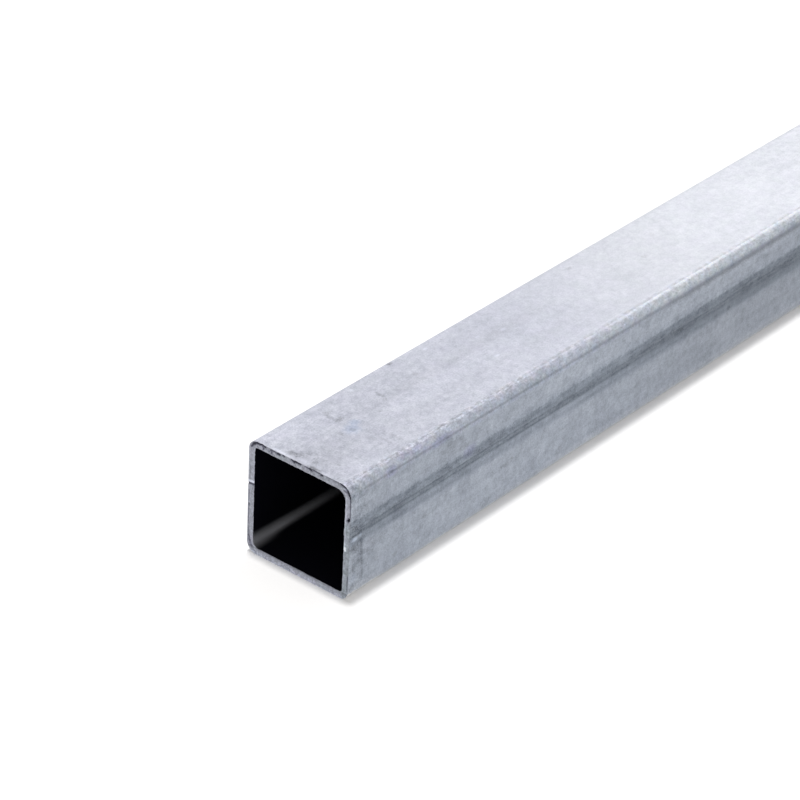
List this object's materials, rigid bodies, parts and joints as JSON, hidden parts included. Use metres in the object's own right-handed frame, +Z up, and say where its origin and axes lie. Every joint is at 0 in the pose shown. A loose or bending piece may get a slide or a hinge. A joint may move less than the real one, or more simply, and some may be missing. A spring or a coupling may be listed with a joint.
{
  "type": "square metal tube",
  "caption": "Length of cold-formed, longitudinally welded square hollow section in zinc-coated steel, open at both sawn ends.",
  "frame": {"origin": "middle of the underside, at mid length", "axes": "+X along the tube, +Y towards the plain side, so the longitudinal weld is in the -Y side, +Z up towards the top face"},
  "size_m": [1, 0.025, 0.025],
  "materials": {
    "zinc_coated_steel": "continuously galvanised, dull pale grey with fine mottling"
  },
  "bodies": {
    "root": {"square_tube": "zinc_coated_steel"}
  },
  "joints": []
}
